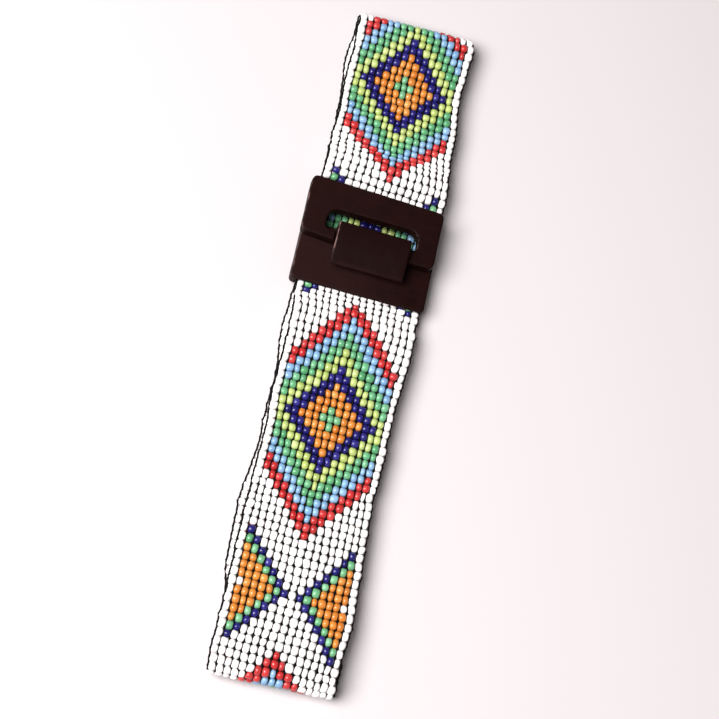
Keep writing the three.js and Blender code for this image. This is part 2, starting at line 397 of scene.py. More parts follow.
ROW_SLANTS = [
    {"row": -17, "left": -0.9, "right": 1.9},
    {"row": -13, "left": -0.8, "right": 0.8},
    {"row": -7, "left": -1.0, "right": -0.4},
    {"row": -3, "left": -1.1, "right": 0.0},
    {"row": 0, "left": -0.7, "right": 0.1},
    {"row": 3, "left": 0.0, "right": -0.6},
    {"row": 7, "left": 0.0, "right": 0.3},
    {"row": 15, "left": 1.3, "right": 0.7},
    {"row": 27, "left": 0.2, "right": -1.3},
    {"row": 50, "left": 0.0, "right": 0.0},
    {"row": 110, "left": 0.0, "right": 0.0},
    {"row": 118, "left": -1.1, "right": 1.1},
    {"row": 126, "left": 0.2, "right": 0.0},
    {"row": 138, "left": 0.0, "right": 0.0},
    {"row": 141, "left": 2.0, "right": -0.5},
    {"row": 143, "left": 2.2, "right": -0.5},
]
COLUMN_BENDS = [
    {"row": 130, "x": 0.0},
    {"row": 139, "x": 1.6},
    {"row": 143, "x": 0.6},
]
COLUMN_PITCH = 3.35
UPPER_ABOVE = 1.5 * BAND_THICKNESS
QUICK_ACROSS = 0.2
QUICK_ALONG = 0.17
SLOW_ACROSS = 0.22
SLOW_ALONG = 0.2
REACH_ACROSS = (9, 7)
REACH_ALONG = (5, 5)


def along_at(y, layer_name):
    """The distance along the route of a place in one of the three layers."""
    upper = route[:, 1] > UPPER_ABOVE
    first_half = route_along < band_length / 2
    wanted = {"near": upper & first_half, "lower": ~upper, "far": upper & ~first_half}[layer_name]
    return route_along[np.argmin(np.where(wanted, np.abs(route[:, 0] - y), np.inf))]


def slow_noise(shape, reach, size):
    """Random values smoothed over some rows and columns, scaled to a chosen spread."""
    values = rng.normal(size=shape)
    for axis in (0, 1):
        kernel = np.hanning(reach[axis] + 2)[1:-1]
        padded = np.apply_along_axis(lambda line: np.convolve(
            np.pad(line, reach[axis], mode="reflect"), kernel, mode="same"), axis, values)
        values = np.take(padded, range(reach[axis], reach[axis] + shape[axis]), axis=axis)
    return values / values.std() * size


known_along = [along_at(place["y"], place["layer"]) for place in KNOWN_ROWS]
known_rows = [place["row"] for place in KNOWN_ROWS]


def row_place(row):
    """The distance along the route of a row, whole or not, carried on past the table's ends."""
    first_pitch = (known_along[1] - known_along[0]) / (known_rows[1] - known_rows[0])
    last_pitch = (known_along[-1] - known_along[-2]) / (known_rows[-1] - known_rows[-2])
    before = np.minimum(row - known_rows[0], 0) * first_pitch
    after = np.maximum(row - known_rows[-1], 0) * last_pitch
    return np.interp(row, known_rows, known_along) + before + after


def slant(row):
    """How far along +Y each column's bead is set from the row's middle, for an array of rows."""
    sides = {side: np.interp(row, [place["row"] for place in ROW_SLANTS],
                             [place[side] for place in ROW_SLANTS]) for side in ("left", "right")}
    reach = columns / EDGE_COLUMN
    return (sides["left"][:, None] * np.maximum(-reach, 0)
            + sides["right"][:, None] * np.maximum(reach, 0))


row_middles = row_place(rows.astype(float))
row_edges = row_place(np.arange(FIRST_ROW, LAST_ROW + 2) - 0.5)
left_edge = on_route(row_middles, 2) + EDGE_MARGIN
right_edge = on_route(row_middles, 3) - EDGE_MARGIN
share = np.arange(len(columns) + 1) / len(columns)
edge_x = left_edge[:, None] + share * (right_edge - left_edge)[:, None]
bend = np.interp(rows, [place["row"] for place in COLUMN_BENDS],
                 [place["x"] for place in COLUMN_BENDS])
edge_x += bend[:, None] * (1 - (2 * share - 1) ** 2)
edge_x += (slow_noise(edge_x.shape, REACH_ACROSS, SLOW_ACROSS)
           + rng.normal(0, QUICK_ACROSS, edge_x.shape))
edge_along = row_edges[:, None] - slant(np.arange(FIRST_ROW, LAST_ROW + 2) - 0.5)
edge_along += slow_noise(edge_along.shape, REACH_ALONG, SLOW_ALONG)
edge_along += rng.normal(0, QUICK_ALONG, edge_along.shape)
print(f"{len(rows)} rows of {len(columns)}, first at {row_edges[0]:.1f} mm, last at "
      f"{row_edges[-1]:.1f} mm of {band_length:.1f}")
print("row pitches in mm:", np.round(np.diff(known_along) / np.diff(known_rows), 2))

# %% [markdown]
# A seed bead is a short slice of drawn glass tube, tumbled hot until its rims are round. Three
# beads are modelled by hand, which differ in how far the rims are rounded: each is a cylinder lying
# across the belt, whose rims are bevelled and whose ends are inset and opened to make the hole. A
# packed band presses its beads a little square, so the round section is swelled. All other beads
# are copies of these, so each is kept to a few dozen faces and smooth shading does the rest.

# %% Model the three beads
BEAD_SIDES = 10
BEAD_LENGTH = 3.0
BEAD_RADIUS = 2.0
BEAD_HOLE = 0.55
BEAD_RIMS = (0.42, 0.55, 0.7)
BEAD_SQUARENESS = 2.35
SAME_MM = 0.01
FACING = 0.9


def with_nothing_selected(mesh_object, by_faces):
    """Leaves edit mode and clears the selection. Returns the mesh, to select in it by place."""
    bpy.ops.object.mode_set(mode="OBJECT")
    mesh = mesh_object.data
    for part in (mesh.vertices, mesh.edges, mesh.polygons):
        part.foreach_set("select", np.zeros(len(part), bool))
    bpy.context.tool_settings.mesh_select_mode = (False, not by_faces, by_faces)
    return mesh


def select_faces(mesh_object, wanted):
    """Selects the faces that wanted(face) picks, and goes into edit mode."""
    for face in with_nothing_selected(mesh_object, by_faces=True).polygons:
        face.select = bool(wanted(face))
    bpy.ops.object.mode_set(mode="EDIT")


def select_edges(mesh_object, wanted):
    """The same for edges: wanted(first corner, second corner)."""
    mesh = with_nothing_selected(mesh_object, by_faces=False)
    for edge in mesh.edges:
        edge.select = bool(wanted(*[mesh.vertices[i].co for i in edge.vertices]))
    bpy.ops.object.mode_set(mode="EDIT")


def squared(corners):
    """Swells a round section towards a rounded square, as if pressed between its neighbours."""
    sides = np.abs(corners[:, 1:])
    radius = np.hypot(sides[:, 0], sides[:, 1])
    share = sides / radius[:, None]
    swell = (share ** BEAD_SQUARENESS).sum(axis=1) ** (-1 / BEAD_SQUARENESS)
    return corners * np.column_stack((np.ones(len(corners)), swell, swell))


def model_bead(rim):
    deselect_all()
    bpy.ops.mesh.primitive_cylinder_add(
        vertices=BEAD_SIDES, radius=BEAD_RADIUS * MM, depth=BEAD_LENGTH * MM,
        end_fill_type="NGON", location=(0, 0, 0), rotation=(0, math.pi / 2, 0))
    bead = bpy.context.object
    bpy.ops.object.transform_apply(rotation=True)
    bpy.ops.object.mode_set(mode="EDIT")
    select_edges(bead, lambda a, b: abs(a.x - b.x) < SAME_MM * MM)
    bpy.ops.mesh.bevel(offset=rim * MM, segments=1, affect="EDGES")
    select_faces(bead, lambda face: abs(face.normal.x) > FACING)
    rim_width = BEAD_RADIUS - rim - BEAD_HOLE
    bpy.ops.mesh.inset(thickness=rim_width * MM, use_individual=True)
    bpy.ops.mesh.bridge_edge_loops()
    bpy.ops.object.mode_set(mode="OBJECT")
    mesh = bead.data
    print("one bead has", len(mesh.polygons), "faces,", in_mm(bead.dimensions, 2), "mm")
    corners = squared(np.array([v.co for v in mesh.vertices]) / MM)
    faces = [list(face.vertices) for face in mesh.polygons]
    bpy.data.objects.remove(bead)
    return corners, faces


bead_shapes = [model_bead(rim) for rim in BEAD_RIMS]
bead_corners = np.array([corners for corners, faces in bead_shapes])
bead_faces = bead_shapes[0][1]

# %% [markdown]
# Glass seed beads of this kind are opaque: soda glass coloured through, with a fire-polished skin.
# The eye reads them by a small soft highlight on a saturated body. No two batches of glass match,
# so each bead gets its own tone and its own depth of colour as attributes. A soft mottle keeps the
# glass from looking like plastic, and a very slight ripple in the skin breaks up the highlight.

# %% Glass for the beads
GLASS_IOR = 1.52
MOTTLE_MM = 1.4
RIPPLE_MM = 0.9
RIPPLE_DEPTH_MM = 0.2
GLASS_COLOURS = {
    "white": "#F4F0EE",
    "red": "#BC3131",
    "light_blue": "#82A7C9",
    "green": "#5FA072",
    "mint": "#6DA97B",
    "lime": "#B2C172",
    "navy": "#1F1A67",
    "orange": "#CE8036",
}


def opaque_glass(colour_name):
    material, tree = new_material(f"opaque_glass_{colour_name}")
    base = linear(GLASS_COLOURS[colour_name])
    place = add_node(tree, "ShaderNodeTexCoord")
    tone = add_node(tree, "ShaderNodeAttribute", {"attribute_name": "bead_tone"})
    depth = add_node(tree, "ShaderNodeAttribute", {"attribute_name": "bead_depth"})
    dyed = add_node(tree, "ShaderNodeGamma", {"Color": base}, {"Gamma": depth.outputs["Fac"]})
    mottle = add_node(tree, "ShaderNodeTexNoise", {"Scale": 1 / (MOTTLE_MM * MM), "Detail": 2.0},
                      {"Vector": place.outputs["Object"]})
    mottle_share = add_node(tree, "ShaderNodeMapRange",
                            {"From Min": 0.3, "From Max": 0.7, "To Min": -0.05, "To Max": 0.05},
                            {"Value": mottle.outputs["Fac"]})
    value = add_node(tree, "ShaderNodeMath", {"operation": "ADD"},
                     {0: tone.outputs["Fac"], 1: mottle_share.outputs["Result"]})
    body = add_node(tree, "ShaderNodeHueSaturation",
                    links={"Color": dyed.outputs["Color"], "Value": value.outputs[0]})
    ripple = add_node(tree, "ShaderNodeTexNoise", {"Scale": 1 / (RIPPLE_MM * MM), "Detail": 1.0},
                      {"Vector": place.outputs["Object"]})
    bump = add_node(tree, "ShaderNodeBump",
                    {"Strength": 0.12, "Distance": RIPPLE_DEPTH_MM * MM},
                    {"Height": ripple.outputs["Fac"]})
    shader = add_node(tree, "ShaderNodeBsdfPrincipled",
                      {"Roughness": 0.28, "IOR": GLASS_IOR},
                      {"Base Color": body.outputs["Color"], "Normal": bump.outputs["Normal"]})
    add_node(tree, "ShaderNodeOutputMaterial", links={"Surface": shader.outputs[0]})
    return material


# %% [markdown]
# Now every bead of the chart is set into its cell. The copies are made as arrays, one joined mesh
# for each colour: one of the three model beads is stretched to the cell's length and girth, cut a
# little slanted, turned a little round its own hole, leaned along the wandering row, and moved to
# its place on the route.

# %% String the beads
CORD_ROOM = 0.34
SHORT_BEAD = 0.3
TIGHT_ROW = 0.965
LOWEST_BEAD = 0.9
LEAN_SPREAD = math.radians(2.5)
SPIN_SPREAD = math.radians(6)
CUT_SLANT = 0.06
RAISED = 0.07
TONE_SPREAD = 0.055
DEPTH_SPREAD = 0.08


def bead_matrices():
    """The size, turn and place of each bead, as arrays over rows and columns."""
    left, right = edge_x[:, :-1], edge_x[:, 1:]
    near, far = edge_along[:-1], edge_along[1:]
    middle, forward, outward = place_on_route((near + far) / 2, (left + right) / 2)
    centre = middle + outward * rng.normal(0, RAISED, left.shape)[..., None]
    length = (right - left - CORD_ROOM - SHORT_BEAD * rng.random(left.shape)) / BEAD_LENGTH
    girth = (far - near) * TIGHT_ROW / (2 * BEAD_RADIUS)
    height = np.clip(girth, LOWEST_BEAD, 1)
    slope = np.gradient((near + far) / 2, axis=1) / COLUMN_PITCH
    lean = np.arctan(slope) + rng.normal(0, LEAN_SPREAD, left.shape)
    spin = rng.normal(0, SPIN_SPREAD, left.shape)
    slant_cut = rng.normal(0, CUT_SLANT, left.shape)[..., None]
    across = np.zeros_like(forward)
    across[..., 0] = 1
    hole = across * np.cos(lean)[..., None] + forward * np.sin(lean)[..., None]
    flat = forward * np.cos(lean)[..., None] - across * np.sin(lean)[..., None]
    flat = flat * girth[..., None] + hole * slant_cut
    tall = outward * height[..., None]
    first = flat * np.cos(spin)[..., None] + tall * np.sin(spin)[..., None]
    second = tall * np.cos(spin)[..., None] - flat * np.sin(spin)[..., None]
    turn = np.stack((hole * length[..., None], first, second), axis=-2)
    return centre, turn


def joined_mesh(name, corners, faces, copies):
    """One mesh out of many copies: corners is copies x corners x 3, in millimetres."""
    per_copy = corners.shape[1]
    mesh = bpy.data.meshes.new(name)
    sizes = np.array([len(face) for face in faces])
    flat_faces = np.concatenate([np.array(face) for face in faces])
    loops = (flat_faces[None, :] + per_copy * np.arange(copies)[:, None]).ravel()
    totals = np.tile(sizes, copies)
    mesh.vertices.add(copies * per_copy)
    mesh.vertices.foreach_set("co", (corners.reshape(-1, 3) * MM).astype(np.float32).ravel())
    mesh.loops.add(len(loops))
    mesh.loops.foreach_set("vertex_index", loops.astype(np.int32))
    mesh.polygons.add(len(totals))
    mesh.polygons.foreach_set("loop_start", (np.cumsum(totals) - totals).astype(np.int32))
    mesh.polygons.foreach_set("use_smooth", np.ones(len(totals), bool))
    mesh.update(calc_edges=True)
    mesh.validate()
    piece = bpy.data.objects.new(name, mesh)
    bpy.context.scene.collection.objects.link(piece)
    return piece


def set_attribute(piece, name, values):
    attribute = piece.data.attributes.new(name, "FLOAT", "POINT")
    attribute.data.foreach_set("value", values.astype(np.float32))


def string_beads(colour_name, centres, turns):
    copies = len(centres)
    shape = rng.integers(len(bead_shapes), size=copies)
    corners = bead_corners[shape] @ turns + centres[:, None]
    piece = joined_mesh(f"beads_{colour_name}", corners, bead_faces, copies)
    for name, spread in (("bead_tone", TONE_SPREAD), ("bead_depth", DEPTH_SPREAD)):
        values = 1 + rng.normal(0, spread, copies)
        set_attribute(piece, name, np.repeat(values, corners.shape[1]))
    piece.data.materials.append(opaque_glass(colour_name))
    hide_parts("beaded_band")
    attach(piece, "root")
    print(piece.name, copies, "beads,", len(piece.data.polygons), "faces")


bead_centres, bead_turns = bead_matrices()
for colour_name in GLASS_COLOURS:
    chosen = chart == colour_name
    string_beads(colour_name, bead_centres[chosen], bead_turns[chosen])

# %% [markdown]
# What holds the beads is seen as black lines between the columns and along both edges. They are
# covered elastic cords that run the whole length of the band. Between two beads a cord is squeezed
# narrow, and where four bead rims meet it swells again, so each cord is a closed tube whose
# section changes from row to row. A thin weft thread goes through every row of beads and through
# the edge cords.

# %% Loom the cords and threads
CORD_SIDES = 8
CORD_HEIGHT = 1.1
CORD_NARROW = 0.22
CORD_SWOLLEN = 0.7
EDGE_CORD = 0.45
EDGE_CORD_OFFSET = 0.3
EDGE_CORD_DIP = 0.22
CORD_TAIL = 0.4
WEFT_RADIUS = 0.15
WEFT_SIDES = 5
WRAP_MM = 0.35
WRAP_DEPTH_MM = 0.1


def tube_along(points, first, second, radii, sides):
    """The corners of a tube: rings round each point in the plane of its first and second axes."""
    angle = np.arange(sides) * 2 * math.pi / sides
    ring = (np.cos(angle)[None, :, None] * first[:, None] * radii[:, 0, None, None]
            + np.sin(angle)[None, :, None] * second[:, None] * radii[:, 1, None, None])
    return (points[:, None] + ring).reshape(-1, 3)


def tube_faces(rings, sides):
    """The faces of a tube that is closed by a flat cap at each end."""
    faces = []
    for ring in range(rings - 1):
        following = ring + 1
        for side in range(sides):
            beside = (side + 1) % sides
            faces.append([ring * sides + side, following * sides + side,
                          following * sides + beside, ring * sides + beside])
    faces.append(list(range(sides)))
    faces.append([(rings - 1) * sides + side for side in reversed(range(sides))])
    return faces


def black_elastic():
    """Covered elastic: black rubber in a tight wrap of matt textile, so it hardly shines."""
    material, tree = new_material("black_covered_elastic")
    place = add_node(tree, "ShaderNodeTexCoord")
    wrap = add_node(tree, "ShaderNodeTexNoise", {"Scale": 1 / (WRAP_MM * MM), "Detail": 2.0},
                    {"Vector": place.outputs["Object"]})
    shade = add_node(tree, "ShaderNodeValToRGB", links={"Fac": wrap.outputs["Fac"]})
    shade.color_ramp.elements[0].color = linear("#020202")
    shade.color_ramp.elements[1].color = linear("#0A0808")
    bump = add_node(tree, "ShaderNodeBump", {"Strength": 0.3, "Distance": WRAP_DEPTH_MM * MM},
                    {"Height": wrap.outputs["Fac"]})
    shader = add_node(tree, "ShaderNodeBsdfPrincipled",
                      {"Roughness": 0.9, "Specular IOR Level": 0.15},
                      {"Base Color": shade.outputs["Color"], "Normal": bump.outputs["Normal"]})
    add_node(tree, "ShaderNodeOutputMaterial", links={"Surface": shader.outputs[0]})
    return material


elastic = black_elastic()


def finish_thread(piece):
    piece.data.materials.append(elastic)
    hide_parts("beaded_band")
    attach(piece, "root")
    print(piece.name, len(piece.data.polygons), "faces")


def cord_stations(edge):
    """Where a cord passes each bead and each gap between rows, as x and distance along."""
    beads = np.column_stack((edge_x[:, edge], row_middles))
    gaps = np.column_stack(((beads[:-1, 0] + beads[1:, 0]) / 2, row_edges[1:-1]))
    both = np.empty((len(beads) + len(gaps), 2))
    both[0::2] = beads
    both[1::2] = gaps
    ends = np.array([[both[0, 0], max(row_edges[0], 0) - CORD_TAIL],
                     [both[-1, 0], min(row_edges[-1], band_length) + CORD_TAIL]])
    return np.vstack((ends[:1], both, ends[1:]))


def tail_place(along, x):
    """Like place_on_route, but carries straight on past the band's two ends."""
    middle, forward, outward = place_on_route(np.clip(along, 0, band_length), x)
    past = along - np.clip(along, 0, band_length)
    return middle + forward * past[:, None], forward, outward


def loom_cords():
    last = len(columns)
    inner, outer = [], []
    for edge in range(last + 1):
        stations = cord_stations(edge)
        side = -1 if edge == 0 else 1 if edge == last else 0
        middle, forward, outward = tail_place(stations[:, 1],
                                              stations[:, 0] + side * EDGE_CORD_OFFSET)
        across = np.tile((1.0, 0.0, 0.0), (len(middle), 1))
        at_bead = (np.arange(len(middle)) % 2 == 1)[:, None]
        if side:
            middle[:, 0] -= np.where(at_bead[:, 0], 0, side * EDGE_CORD_DIP)
            radii = np.full((len(middle), 2), EDGE_CORD)
            outer.append(tube_along(middle, across, outward, radii, CORD_SIDES))
        else:
            radii = np.where(at_bead, (CORD_NARROW, CORD_HEIGHT), (CORD_SWOLLEN, CORD_HEIGHT))
            inner.append(tube_along(middle, across, outward, radii, CORD_SIDES))
    faces = tube_faces(len(inner[0]) // CORD_SIDES, CORD_SIDES)
    finish_thread(joined_mesh("cords_between_columns", np.array(inner), faces, len(inner)))
    finish_thread(joined_mesh("cords_at_edges", np.array(outer), faces, len(outer)))


def loom_wefts():
    centre_along = (edge_along[:-1] + edge_along[1:]) / 2
    centre_x = (edge_x[:, :-1] + edge_x[:, 1:]) / 2
    ends = np.stack((edge_x[:, 0] - 2 * EDGE_CORD, edge_x[:, -1] + 2 * EDGE_CORD), axis=1)
    x = np.column_stack((ends[:, :1], centre_x, ends[:, 1:]))
    along = np.column_stack((centre_along[:, :1], centre_along, centre_along[:, -1:]))
    threads = []
    for row in range(len(rows)):
        middle, forward, outward = place_on_route(along[row], x[row])
        radii = np.full((len(middle), 2), WEFT_RADIUS)
        threads.append(tube_along(middle, forward, outward, radii, WEFT_SIDES))
    faces = tube_faces(x.shape[1], WEFT_SIDES)
    finish_thread(joined_mesh("weft_threads", np.array(threads), faces, len(threads)))


loom_cords()
loom_wefts()

# %% [markdown]
# The buckle is two pieces of hardwood, sawn and whittled to shape, stained almost black and waxed.
# Both are carved here in the same way as on a bench: a block is cut to size, its corners are
# bevelled, and more blocks cut away the slot and the rebate. A fine remesh then makes the surface
# even, so that a smoothing can take the sharpness off as sandpaper does, and two noise textures
# can leave the flat hollows of the knife and the small nicks of wear.

# %% Tools for carving
CORNER_STEPS = 6
VOXEL_MM = 0.42
SANDING_STEPS = 7
HOLLOW_MM = 11.0
HOLLOW_DEPTH = 0.35
NICK_MM = 1.8
NICK_DEPTH = 0.05
SHARPEST_TURN = 0.03
KEPT_WEAR = 0.3
# How fast edges facing the lamp on the left gain painted highlight, and how much more the tongue's
# edges get.
LEFT_HIGHLIGHT_REACH = 1.6
TONGUE_RUB_AND_GLINT = 0.35
WEAR_SPREADING = 3


def work_on(piece):
    deselect_all()
    piece.select_set(True)
    bpy.context.view_layer.objects.active = piece


def block(name, low, high):
    """A block between two corners given in millimetres."""
    deselect_all()
    low, high = Vector(low) * MM, Vector(high) * MM
    bpy.ops.mesh.primitive_cube_add(size=1, location=(low + high) / 2, scale=high - low)
    bpy.ops.object.transform_apply(location=True, rotation=True, scale=True)
    bpy.context.object.name = name
    return bpy.context.object


def apply_modifier(piece, kind, settings):
    work_on(piece)
    modifier = piece.modifiers.new(kind.lower(), kind)
    for name, value in settings.items():
        setattr(modifier, name, value)
    bpy.ops.object.modifier_apply(modifier=modifier.name)


def join_or_cut(piece, other, operation):
    apply_modifier(piece, "BOOLEAN", {"object": other, "operation": operation, "solver": "EXACT"})
    bpy.data.objects.remove(other)


def bevel_where(piece, wanted, width):
    work_on(piece)
    bpy.ops.object.mode_set(mode="EDIT")
    select_edges(piece, wanted)
    bpy.ops.mesh.bevel(offset=width * MM, segments=CORNER_STEPS, affect="EDGES")
    bpy.ops.object.mode_set(mode="OBJECT")


def close(first, second):
    return abs(first - second * MM) < SAME_MM * MM


def upright_at(x, y):
    return lambda a, b: close(a.x, x) and close(b.x, x) and close(a.y, y) and close(b.y, y)


def bevel_uprights(piece, xs, ys, width):
    for x in xs:
        for y in ys:
            bevel_where(piece, upright_at(x, y), width)


def corners_of(piece):
    places = np.empty(len(piece.data.vertices) * 3)
    piece.data.vertices.foreach_get("co", places)
    return places.reshape(-1, 3) / MM


def move_corners(piece, places):
    piece.data.vertices.foreach_set("co", (places * MM).astype(np.float32).ravel())
    piece.data.update()


def noise_texture(name, size):
    texture = bpy.data.textures.new(name, "CLOUDS")
    texture.noise_scale = size * MM
    texture.noise_depth = 1
    return texture


def sand_and_whittle(piece):
    apply_modifier(piece, "REMESH", {"mode": "VOXEL", "voxel_size": VOXEL_MM * MM})
    apply_modifier(piece, "SMOOTH", {"factor": 0.5, "iterations": SANDING_STEPS})
    for name, size, depth in (("knife_hollows", HOLLOW_MM, HOLLOW_DEPTH),
                              ("small_nicks", NICK_MM, NICK_DEPTH)):
        apply_modifier(piece, "DISPLACE", {"texture": noise_texture(name, size),
                                           "texture_coords": "LOCAL", "mid_level": 0.5,
                                           "strength": depth * MM})
    piece.data.polygons.foreach_set("use_smooth", np.ones(len(piece.data.polygons), bool))
    print(piece.name, len(piece.data.polygons), "faces after sanding")


def neighbour_mean(values, ends, counts):
    total = np.zeros_like(values)
    np.add.at(total, ends[:, 0], values[ends[:, 1]])
    np.add.at(total, ends[:, 1], values[ends[:, 0]])
    return total / counts.reshape(-1, *[1] * (values.ndim - 1))


def mark_edge_wear_and_highlight(piece, handled):
    """Stores how sharply the surface turns outwards, which is where hands and cloth rub it. Edges
    that face the lamp on the left get more, as painted highlight, and the tongue's more still, as
    wear and painted glint."""
    mesh = piece.data
    ends = np.empty(len(mesh.edges) * 2, np.int32)
    mesh.edges.foreach_get("vertices", ends)
    ends = ends.reshape(-1, 2)
    counts = np.bincount(ends.ravel(), minlength=len(mesh.vertices))
    normals = np.empty(len(mesh.vertices) * 3)
    mesh.vertices.foreach_get("normal", normals)
    places = corners_of(piece)
    offset = places - neighbour_mean(places, ends, counts)
    normals = normals.reshape(-1, 3)
    turn = np.clip((offset * normals).sum(axis=1) / SHARPEST_TURN, 0, 1)
    # Edges that face the lamp on the left are raised: painted highlight on top of the wear.
    facing_lamp = np.clip(-normals[:, 0] * LEFT_HIGHLIGHT_REACH, 0, 1)
    turn *= KEPT_WEAR + (1 - KEPT_WEAR) * facing_lamp
    turn *= 1 + TONGUE_RUB_AND_GLINT * handled
    for _ in range(WEAR_SPREADING):
        turn = (turn + neighbour_mean(turn, ends, counts)) / 2
    set_attribute(piece, "edge_wear_and_highlight", turn)
    print(piece.name, "edge wear up to", round(float(turn.max()), 2))


# %% [markdown]
# Dark stain on a close-grained wood leaves little of the figure: faint streaks along the grain,
# which runs across the belt, and a red-brown glow where the stain is thinner. Wax gives it a satin
# skin with fine scratches along the belt. A painted sheen lightens both pieces towards the lamp on
# the left; the plate's right end gets none and stays dark as painted shade beside the tongue. The
# tongue, which is handled most, has gone darker. Along the edges the stain is rubbed through to the
# paler wood in broken patches, and the edges that face the lamp on the left get more of that pale
# colour as painted highlight.

# %% Stained and waxed wood
GRAIN_MM = 0.5
GRAIN_STRETCH = 22
GRAIN_DEPTH_MM = 0.05
BLOTCH_MM = 9.0
WEAR_MM = 5.0
SCRATCH_MM = 0.35
SCRATCH_STRETCH = (1, 0.04, 0.3)
# A Mix node's colour sockets share their names with others, so they go by number
MIX_SHARE, MIX_UNDER, MIX_OVER = 0, 6, 7
MIXED = 2


def stained_wood():
    material, tree = new_material("stained_waxed_hardwood")
    place = add_node(tree, "ShaderNodeTexCoord").outputs["Object"]
    along_grain = add_node(tree, "ShaderNodeMapping", {"Scale": (1 / GRAIN_STRETCH, 1, 1)},
                           {"Vector": place})
    grain = add_node(tree, "ShaderNodeTexNoise", {"Scale": 1 / (GRAIN_MM * MM), "Detail": 4.0},
                     {"Vector": along_grain.outputs["Vector"]})
    stain = add_node(tree, "ShaderNodeValToRGB", links={"Fac": grain.outputs["Fac"]})
    stain.color_ramp.elements[0].position = 0.3
    stain.color_ramp.elements[0].color = linear("#110605")
    stain.color_ramp.elements[1].position = 0.75
    stain.color_ramp.elements[1].color = linear("#1A0A08")
    blotch = add_node(tree, "ShaderNodeTexNoise", {"Scale": 1 / (BLOTCH_MM * MM), "Detail": 2.0},
                      {"Vector": place})
    thin_stain = add_node(tree, "ShaderNodeMapRange",
                          {"From Min": 0.4, "From Max": 0.75, "To Max": 0.35},
                          {"Value": blotch.outputs["Fac"]})
    colour = add_node(tree, "ShaderNodeMix", {"data_type": "RGBA", MIX_OVER: linear("#260D0B")},
                      {MIX_SHARE: thin_stain.outputs["Result"],
                       MIX_UNDER: stain.outputs["Color"]})
    # A painted sheen lightens the wood towards the lamp on the left; handled parts go darker.
    for name, hex_colour in (("painted_left_sheen", "#2B1917"), ("handled", "#160706")):
        marked = add_node(tree, "ShaderNodeAttribute", {"attribute_name": name})
        colour = add_node(tree, "ShaderNodeMix",
                          {"data_type": "RGBA", MIX_OVER: linear(hex_colour)},
                          {MIX_SHARE: marked.outputs["Fac"], MIX_UNDER: colour.outputs[MIXED]})
    edge = add_node(tree, "ShaderNodeAttribute", {"attribute_name": "edge_wear_and_highlight"})
    broken = add_node(tree, "ShaderNodeTexNoise", {"Scale": 1 / (WEAR_MM * MM), "Detail": 5.0},
                      {"Vector": place})
    # Pale wood where the stain is rubbed through in broken patches, plus painted highlight on the
    # edges that face the lamp.
    wear_and_glint_mark = add_node(tree, "ShaderNodeMath", {"operation": "MULTIPLY"},
                      {0: edge.outputs["Fac"], 1: broken.outputs["Fac"]})
    wear_and_glint_share = add_node(tree, "ShaderNodeMapRange",
                       {"From Min": 0.36, "From Max": 0.6, "To Max": 0.7},
                       {"Value": wear_and_glint_mark.outputs[0]})
    wear_and_glint_colour = add_node(tree, "ShaderNodeMix", {"data_type": "RGBA", MIX_OVER: linear("#8C6C66")},
                    {MIX_SHARE: wear_and_glint_share.outputs["Result"], MIX_UNDER: colour.outputs[MIXED]})
    across_grain = add_node(tree, "ShaderNodeMapping", {"Scale": SCRATCH_STRETCH},
                            {"Vector": place})
    scratches = add_node(tree, "ShaderNodeTexNoise",
                         {"Scale": 1 / (SCRATCH_MM * MM), "Detail": 1.0},
                         {"Vector": across_grain.outputs["Vector"]})
    roughness = add_node(tree, "ShaderNodeMapRange", {"To Min": 0.38, "To Max": 0.55},
                         {"Value": scratches.outputs["Fac"]})
    bump = add_node(tree, "ShaderNodeBump",
                    {"Strength": 0.08, "Distance": GRAIN_DEPTH_MM * MM},
                    {"Height": grain.outputs["Fac"]})
    shader = add_node(tree, "ShaderNodeBsdfPrincipled",
                      {"IOR": 1.47, "Specular IOR Level": 0.05},
                      {"Base Color": wear_and_glint_colour.outputs[MIXED], "Roughness": roughness.outputs["Result"],
                       "Normal": bump.outputs["Normal"]})
    add_node(tree, "ShaderNodeOutputMaterial", links={"Surface": shader.outputs[0]})
    return material


wood = stained_wood()


def finish_wood(piece, node, handled, painted_left_sheen):
    """Sets wear and painted highlight, handling and painted sheen (0 to 1 per corner), and the
    finish.
    """
    mark_edge_wear_and_highlight(piece, handled)
    set_attribute(piece, "handled", handled)
    set_attribute(piece, "painted_left_sheen", painted_left_sheen)
    piece.data.materials.append(wood)
    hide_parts(node)
    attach(piece, "root")


# %% [markdown]
# The frame is a flat board with a long slot near its near edge, and a shallow seat for the tongue
# is cut into its near bar. The near edge bulges a little towards the hook and both long edges run
# slightly askew, which is done last by moving the corners of the fine mesh, so the slot itself
# stays square.

# %% Carve the frame
FRAME_CENTRE_X = -0.325
FRAME_WIDTH = 65.3
FRAME_NEAR_Y = 40.7
FRAME_FAR_Y = 69.7
FRAME_BOTTOM = 11.6
FRAME_TOP = 17.6
FRAME_CORNER = 2.8
FRAME_LEAN = -0.03
FRAME_NEAR_BULGE = 1.0
SLOT_CENTRE_X = 0.2
SLOT_LENGTH = 44.4
SLOT_NEAR_Y = 45.25
SLOT_FAR_Y = 56.15
SLOT_NEAR_CORNER = 2.5
SLOT_FAR_CORNER = 5.2
SEAT_MARGIN = 0.4
GAP = 0.3
CUT_PAST = 3.0
# Painted sheen: the frame is lightened towards the lamp on the left, and not at its right end.
FRAME_PAINTED_SHEEN = 0.2


